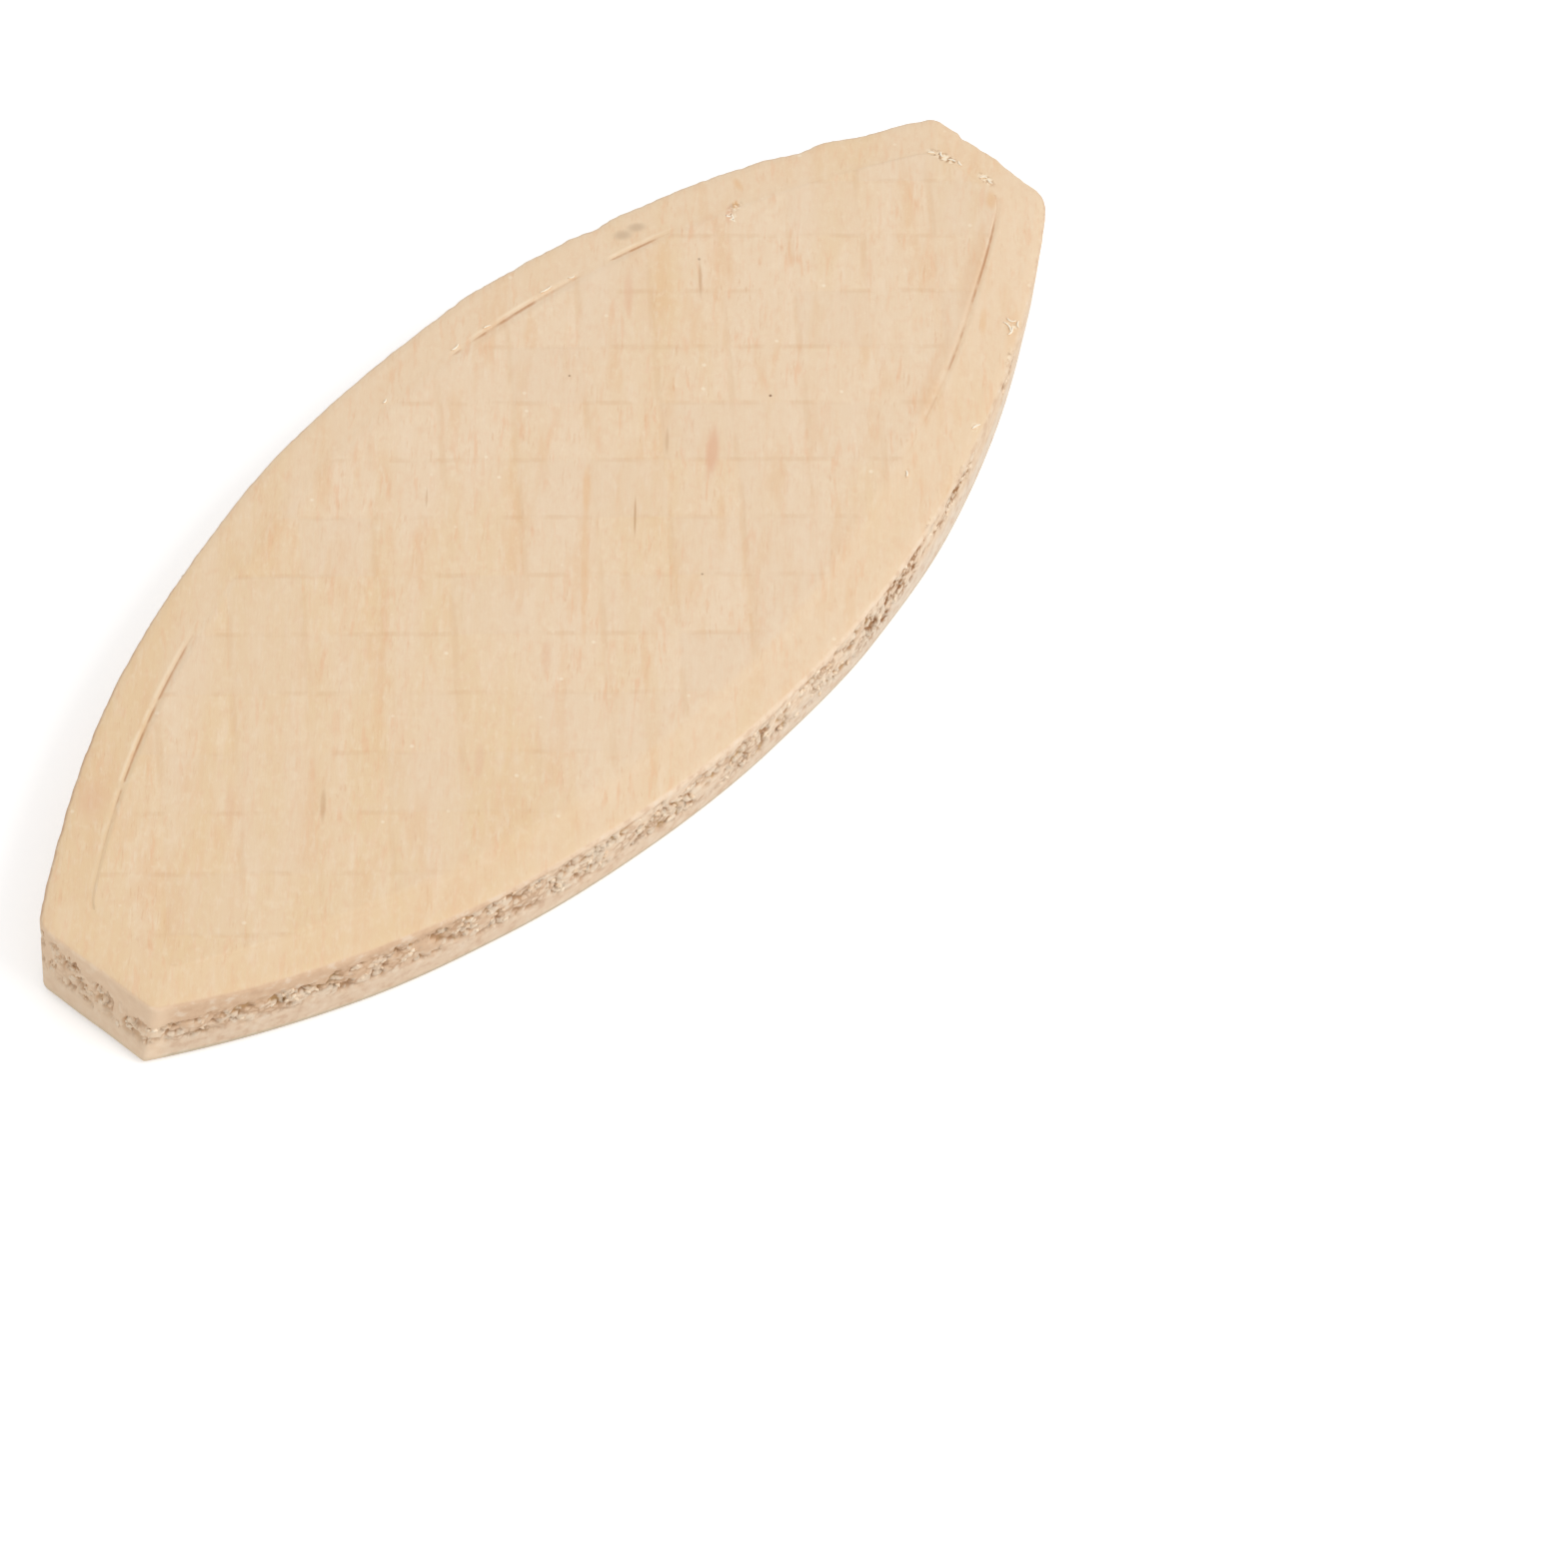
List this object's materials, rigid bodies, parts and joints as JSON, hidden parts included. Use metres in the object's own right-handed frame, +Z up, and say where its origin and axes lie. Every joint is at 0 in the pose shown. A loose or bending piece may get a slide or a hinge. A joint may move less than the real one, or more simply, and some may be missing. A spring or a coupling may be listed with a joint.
{
  "type": "jointing biscuit",
  "caption": "Lens-shaped pressed beech biscuit with clipped tips, a creased border and a diagonal grid, glued into two cut slots to join boards.",
  "frame": {"origin": "on the lower face, under the middle of the length and the width", "axes": "+X along the length, +Y across the width, +Z up out of the upper gridded face"},
  "size_m": [0.056, 0.023, 0.004],
  "materials": {
    "beech": "matt, pressed and unfinished"
  },
  "bodies": {
    "root": {"biscuit": "beech"}
  },
  "joints": []
}
